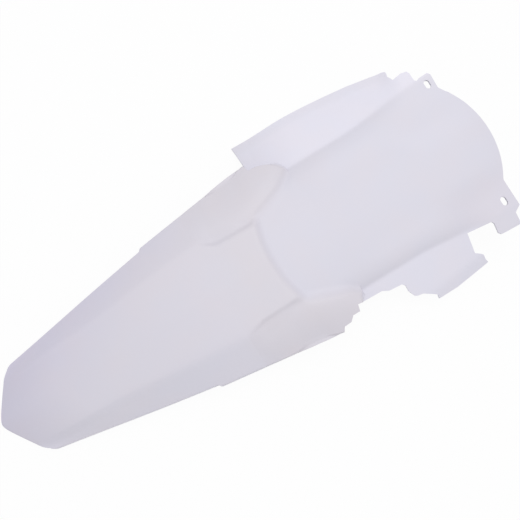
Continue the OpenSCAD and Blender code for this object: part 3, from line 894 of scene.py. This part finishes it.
    def note_tones(self, mesh: bpy.types.Mesh) -> None:
        """Writes the shares of the zone colours, which paint light and shade, into the mesh, for the
        material.

        Args:
            mesh: The trimmed sheet.
        """
        points = np.empty(len(mesh.vertices) * 3)
        mesh.vertices.foreach_get("co", points)
        x, y, _ = points.reshape(-1, 3).T / MM
        for zone, share in ZoneTones(self.form).shares(x, y).items():
            layer = mesh.attributes.new(zone.value, "FLOAT", "POINT")
            layer.data.foreach_set("value", share.astype(np.float32))

    def build(self) -> bpy.types.Object:
        """Builds the trimmed sheet as an object at the origin.

        Returns:
            The finished piece, without its material.
        """
        vertices, faces = self.closed_arrays()
        mesh = bpy.data.meshes.new("fender_sheet")
        mesh.from_pydata(vertices * MM, [], faces)
        mesh.update()
        piece = linked("fender_sheet", mesh)
        slots = {f"slot_{side.name.lower()}": self.slot_outline(side) for side in Side}
        for name, outline in {**self.outlines(), **slots}.items():
            cut = piece.modifiers.new(name, "BOOLEAN")
            cut.operation, cut.solver, cut.object = "DIFFERENCE", "EXACT", self.cutter(name, outline)
        shaped = bpy.data.meshes.new_from_object(piece.evaluated_get(bpy.context.evaluated_depsgraph_get()))
        for cut in list(piece.modifiers):
            cutter = cut.object
            piece.modifiers.remove(cut)
            bpy.data.objects.remove(cutter)
        piece.data = shaped
        shaped.name = "fender_sheet"
        self.note_tones(shaped)
        shaped.shade_smooth()
        shaped.set_sharp_from_angle(angle=math.radians(self.sharp_deg))
        return piece


class NodeBench:
    """Adds nodes to one node tree and joins them."""

    def __init__(self, tree: bpy.types.NodeTree) -> None:
        """Takes the node tree of a material, a world or a group."""
        self.tree = tree

    def add(self, kind: str, inputs: Mapping[str | int, Any] | None = None,
            **settings: Any) -> bpy.types.Node:
        """Adds a node, sets it up and joins its inputs.

        Args:
            kind: Type of the node.
            inputs: For each input's name or number, a socket to join or a value to set.
            **settings: Properties of the node.

        Returns:
            The new node.
        """
        node = self.tree.nodes.new(kind)
        for name, value in settings.items():
            setattr(node, name, value)
        for key, value in (inputs or {}).items():
            if isinstance(value, bpy.types.NodeSocket):
                self.tree.links.new(value, node.inputs[key])
            else:
                node.inputs[key].default_value = value
        return node

    def blend(self, share: Any, first: Any, second: Any, mode: str = "MIX") -> bpy.types.NodeSocket:
        """Gives the socket of a second colour laid over a first one, as far as the share says."""
        node = self.add("ShaderNodeMix", {0: share, 6: first, 7: second}, data_type="RGBA", blend_type=mode)
        return node.outputs[2]

    def rise(self, value: bpy.types.NodeSocket, span: Span, law: str = "LINEAR") -> bpy.types.NodeSocket:
        """Gives the socket of a share that rises from 0 to 1 while a value crosses a span."""
        inputs = {"Value": value, "From Min": span[0], "From Max": span[1]}
        return self.add("ShaderNodeMapRange", inputs, interpolation_type=law).outputs["Result"]

    def seen_by_camera(self, share: float) -> bpy.types.NodeSocket:
        """Gives a share to camera, glossy and transmission rays, and none to other rays.

        Args:
            share: The share that those rays get.

        Returns:
            The socket of the share.
        """
        rays = self.add("ShaderNodeLightPath").outputs
        seen = rays["Is Camera Ray"]
        for ray in ("Is Glossy Ray", "Is Transmission Ray"):
            seen = self.add("ShaderNodeMath", {0: seen, 1: rays[ray]}, operation="MAXIMUM").outputs[0]
        return self.add("ShaderNodeMath", {0: seen, 1: share}, operation="MULTIPLY").outputs[0]


@dataclass(frozen=True)
class PaintedLightShadeAndTint:
    """Colour and grain of the moulding, as a shader node group.

    Its white is painted lighter and darker from zone to zone, and darker and bluer toward the left corner
    of the tail, as painted light and shade. It is also faintly mottled.
    """

    # Painted light and shade by zone: bands and shoulders a little darker than the deck, wings lighter.
    deck: Color = (0.706, 0.69, 0.771)
    band: Color = (0.702, 0.677, 0.756)
    shoulder: Color = (0.699, 0.671, 0.732)
    wing: Color = (0.804, 0.787, 0.88)
    # Painted shade: darker and bluer toward the tail's left corner, along this axis and over this span.
    tail_painted_shade: Color = (0.91, 0.9, 0.98)
    tail_shade_axis: Triple = (-1.0, 1.4, 0.0)
    tail_shade_span: Span = (0.42, 0.68)
    warm: Color = (1.0, 0.994, 0.99)
    cool: Color = (0.988, 0.994, 1.0)
    mottle_scale: float = 24.0
    mottle_span: Span = (0.35, 0.65)
    grain_scale: float = 1100.0

    def group(self) -> bpy.types.NodeTree:
        """Builds the group.

        Returns:
            The node group, with a Color and a Grain output.
        """
        tree = bpy.data.node_groups.new("painted_light_shade_and_tint", "ShaderNodeTree")
        colors = {"Deck": self.deck, "Band": self.band, "Shoulder": self.shoulder, "Wing": self.wing,
                  "Tail": self.tail_painted_shade}
        for name, color in colors.items():
            socket = tree.interface.new_socket(name, in_out="INPUT", socket_type="NodeSocketColor")
            socket.default_value = (*color, 1)
        tree.interface.new_socket("Color", in_out="OUTPUT", socket_type="NodeSocketColor")
        tree.interface.new_socket("Grain", in_out="OUTPUT", socket_type="NodeSocketFloat")
        bench = NodeBench(tree)
        given = bench.add("NodeGroupInput").outputs
        # Painted light and shade: each zone's colour laid over the deck's by its share.
        color = given["Deck"]
        for zone in Zone:
            share = bench.add("ShaderNodeAttribute", attribute_name=zone.value).outputs["Fac"]
            color = bench.blend(share, color, given[zone.value.capitalize()])
        place = bench.add("ShaderNodeTexCoord").outputs["Object"]
        # Painted shade toward the tail's left corner.
        color = bench.blend(self.tail_shade_share(bench, place), color, given["Tail"], "MULTIPLY")
        color = bench.blend(1.0, color, self.mottle(bench, place), "MULTIPLY")
        grain = bench.add("ShaderNodeTexNoise", {"Vector": place, "Scale": self.grain_scale, "Detail": 2.0})
        bench.add("NodeGroupOutput", {"Color": color, "Grain": grain.outputs["Fac"]})
        return tree

    def tail_shade_share(self, bench: NodeBench, place: bpy.types.NodeSocket) -> bpy.types.NodeSocket:
        """Gives the socket of the painted shade's share, which rises along an axis toward the tail's left
        corner.
        """
        along = bench.add("ShaderNodeVectorMath", {0: place, 1: self.tail_shade_axis}, operation="DOT_PRODUCT")
        return bench.rise(along.outputs["Value"], self.tail_shade_span, "SMOOTHSTEP")

    def mottle(self, bench: NodeBench, place: bpy.types.NodeSocket) -> bpy.types.NodeSocket:
        """Gives the socket of a tint that changes slowly between a warm and a cool white."""
        cloud = bench.add("ShaderNodeTexNoise", {"Vector": place, "Scale": self.mottle_scale, "Detail": 1.0})
        return bench.blend(bench.rise(cloud.outputs["Fac"], self.mottle_span),
                           (*self.warm, 1), (*self.cool, 1))


@dataclass(frozen=True)
class MouldedPolypropylene:
    """Satin white polypropylene with a fine grain, as it comes out of the mould; its white carries painted
    light and shade.
    """

    tone: PaintedLightShadeAndTint = PaintedLightShadeAndTint()
    roughness: float = 0.46
    specular: float = 0.4
    grain_strength: float = 0.25
    grain_mm: float = 0.05

    def material(self) -> bpy.types.Material:
        """Builds the material.

        Returns:
            The node material.
        """
        material = bpy.data.materials.new("moulded_polypropylene")
        material.use_nodes = True
        bench = NodeBench(material.node_tree)
        tone = bench.add("ShaderNodeGroup", node_tree=self.tone.group())
        bump = bench.add("ShaderNodeBump", {"Height": tone.outputs["Grain"], "Strength": self.grain_strength,
                                            "Distance": self.grain_mm * MM})
        shader = material.node_tree.nodes["Principled BSDF"]
        shader.inputs["Roughness"].default_value = self.roughness
        shader.inputs["Specular IOR Level"].default_value = self.specular
        material.node_tree.links.new(tone.outputs["Color"], shader.inputs["Base Color"])
        material.node_tree.links.new(bump.outputs["Normal"], shader.inputs["Normal"])
        return material


@dataclass(frozen=True)
class StudioFloor:
    """Matt white floor that mostly glows white for the camera and keeps a soft shadow."""

    color: Color = (0.88, 0.88, 0.9)
    glow_share: float = 0.95

    def material(self) -> bpy.types.Material:
        """Builds the material.

        Returns:
            The node material.
        """
        material = bpy.data.materials.new("white_floor")
        material.use_nodes = True
        material.node_tree.nodes.clear()
        bench = NodeBench(material.node_tree)
        matte = bench.add("ShaderNodeBsdfDiffuse", {"Color": (*self.color, 1)})
        glow = bench.add("ShaderNodeEmission", {"Color": (1, 1, 1, 1)})
        share = bench.seen_by_camera(self.glow_share)
        blend = bench.add("ShaderNodeMixShader", {0: share, 1: matte.outputs[0], 2: glow.outputs[0]})
        bench.add("ShaderNodeOutputMaterial", {"Surface": blend.outputs[0]})
        return material


@dataclass(frozen=True)
class StudioDome:
    """Even pale light from all around, which the camera sees as plain white."""

    strength: float = 0.7

    def world(self) -> bpy.types.World:
        """Builds the world.

        Returns:
            The world.
        """
        world = bpy.data.worlds.new("studio")
        world.use_nodes = True
        world.node_tree.nodes.clear()
        bench = NodeBench(world.node_tree)
        dome = bench.add("ShaderNodeBackground", {"Color": (1, 1, 1, 1), "Strength": self.strength})
        white = bench.add("ShaderNodeBackground", {"Color": (1, 1, 1, 1), "Strength": 1.0})
        share = bench.seen_by_camera(1.0)
        blend = bench.add("ShaderNodeMixShader", {0: share, 1: dome.outputs[0], 2: white.outputs[0]})
        bench.add("ShaderNodeOutputWorld", {"Surface": blend.outputs[0]})
        return world


@dataclass
class Studio:
    """White floor, soft light and the camera at the photograph's angle."""

    image_px: int = 520
    sensor_mm: float = 36.0
    distance_mm: float = 700.0
    mm_per_px: float = 1.12
    toward_right_deg: float = 4.77
    toward_front_deg: float = -1.23
    roll_deg: float = 31.42
    aim_mm: Point = (-267.2, 7.3)
    dome: StudioDome = StudioDome()
    floor_finish: StudioFloor = StudioFloor()
    key_watts: float = 6.3
    key_size: float = 0.9
    key_aim: Triple = (-0.2, 0.0, 0.0)
    key_place: Triple = (0.12, 0.2, 1.34)
    floor_half: float = 6.0
    floor_gap: float = 0.0002
    slope_limit: float = 0.2
    slope_steps: int = 801

    def camera_axes(self) -> tuple[Vector, Vector, Vector]:
        """Works out how the camera is turned, from its two tilts and its roll.

        Returns:
            Its right, up and back directions.
        """
        front, right, roll = map(math.radians, (self.toward_front_deg, self.toward_right_deg, self.roll_deg))
        back = Vector((math.sin(front), -math.sin(right), 0))
        back.z = math.sqrt(1 - back.x ** 2 - back.y ** 2)
        ahead = Vector((1, 0, 0))
        ahead = (ahead - back * ahead.dot(back)).normalized()
        left = back.cross(ahead)
        c, s = math.cos(roll), math.sin(roll)
        return ahead * c - left * s, ahead * s + left * c, back

    def camera(self) -> None:
        """Builds the camera from the distance, the tilts and the scale of the photograph."""
        right, up, back = self.camera_axes()
        data = bpy.data.cameras.new("camera")
        data.sensor_width = self.sensor_mm
        data.lens = self.sensor_mm * self.distance_mm / self.mm_per_px / self.image_px
        data.clip_start, data.clip_end = 0.01, 50
        camera = linked("camera", data)
        place = Vector((*self.aim_mm, 0)) + back * self.distance_mm
        camera.matrix_world = Matrix.Translation(place * MM) @ Matrix((right, up, back)).transposed().to_4x4()
        bpy.context.scene.camera = camera

    def rest_plane(self, points: Array) -> tuple[float, float]:
        """Slope and height of the floor that the part rests on.

        Of all planes below the points, it is the one that is highest under their middle.

        Args:
            points: Vertices of the part, in metres.

        Returns:
            The floor's slope along X and its height at the origin.
        """
        mid = points[:, 0].mean()
        slopes = np.linspace(-self.slope_limit, self.slope_limit, self.slope_steps)
        heights = np.array([(points[:, 2] - s * (points[:, 0] - mid)).min() for s in slopes])
        best = heights.argmax()
        return float(slopes[best]), float(heights[best] - slopes[best] * mid)

    def floor(self, points: Array) -> None:
        """Builds the white floor under the part.

        Args:
            points: Vertices of the part, in metres.
        """
        slope, height = self.rest_plane(points)
        half = self.floor_half
        corners = [(x, y, height + slope * x - self.floor_gap)
                   for x, y in ((-half, -half), (half, -half), (half, half), (-half, half))]
        mesh = bpy.data.meshes.new("floor")
        mesh.from_pydata(corners, [], [(0, 1, 2, 3)])
        floor = linked("floor", mesh)
        mesh.materials.append(self.floor_finish.material())

    def key_light(self) -> None:
        """Hangs one large soft box over the front left of the part."""
        data = bpy.data.lights.new("key", "AREA")
        data.energy = self.key_watts
        data.size = self.key_size
        light = linked("key", data)
        aim, place = Vector(self.key_aim), Vector(self.key_place)
        light.location = place
        light.rotation_mode = "QUATERNION"
        light.rotation_quaternion = (aim - place).to_track_quat("-Z", "Y")

    def build(self, points: Array) -> None:
        """Builds floor, light and camera round the part.

        Args:
            points: Vertices of the part, in metres.
        """
        scene = bpy.context.scene
        scene.view_settings.view_transform = "Standard"
        self.camera()
        self.floor(points)
        scene.world = self.dome.world()
        self.key_light()


def main() -> None:
    """Builds the fender, dresses it and sets the studio round it."""
    logging.basicConfig(level=logging.INFO, format="%(name)s: %(message)s")
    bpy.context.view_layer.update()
    sheet = FenderSheet().build()
    sheet.data.materials.clear()
    sheet.data.materials.append(MouldedPolypropylene().material())
    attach(sheet, BODY)
    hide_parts(NODE)
    LOG.info("%s: %d faces", sheet.name, len(sheet.data.polygons))
    points = np.empty(len(sheet.data.vertices) * 3)
    sheet.data.vertices.foreach_get("co", points)
    Studio().build(points.reshape(-1, 3))
    bpy.context.view_layer.update()


if __name__ == "__main__":
    main()
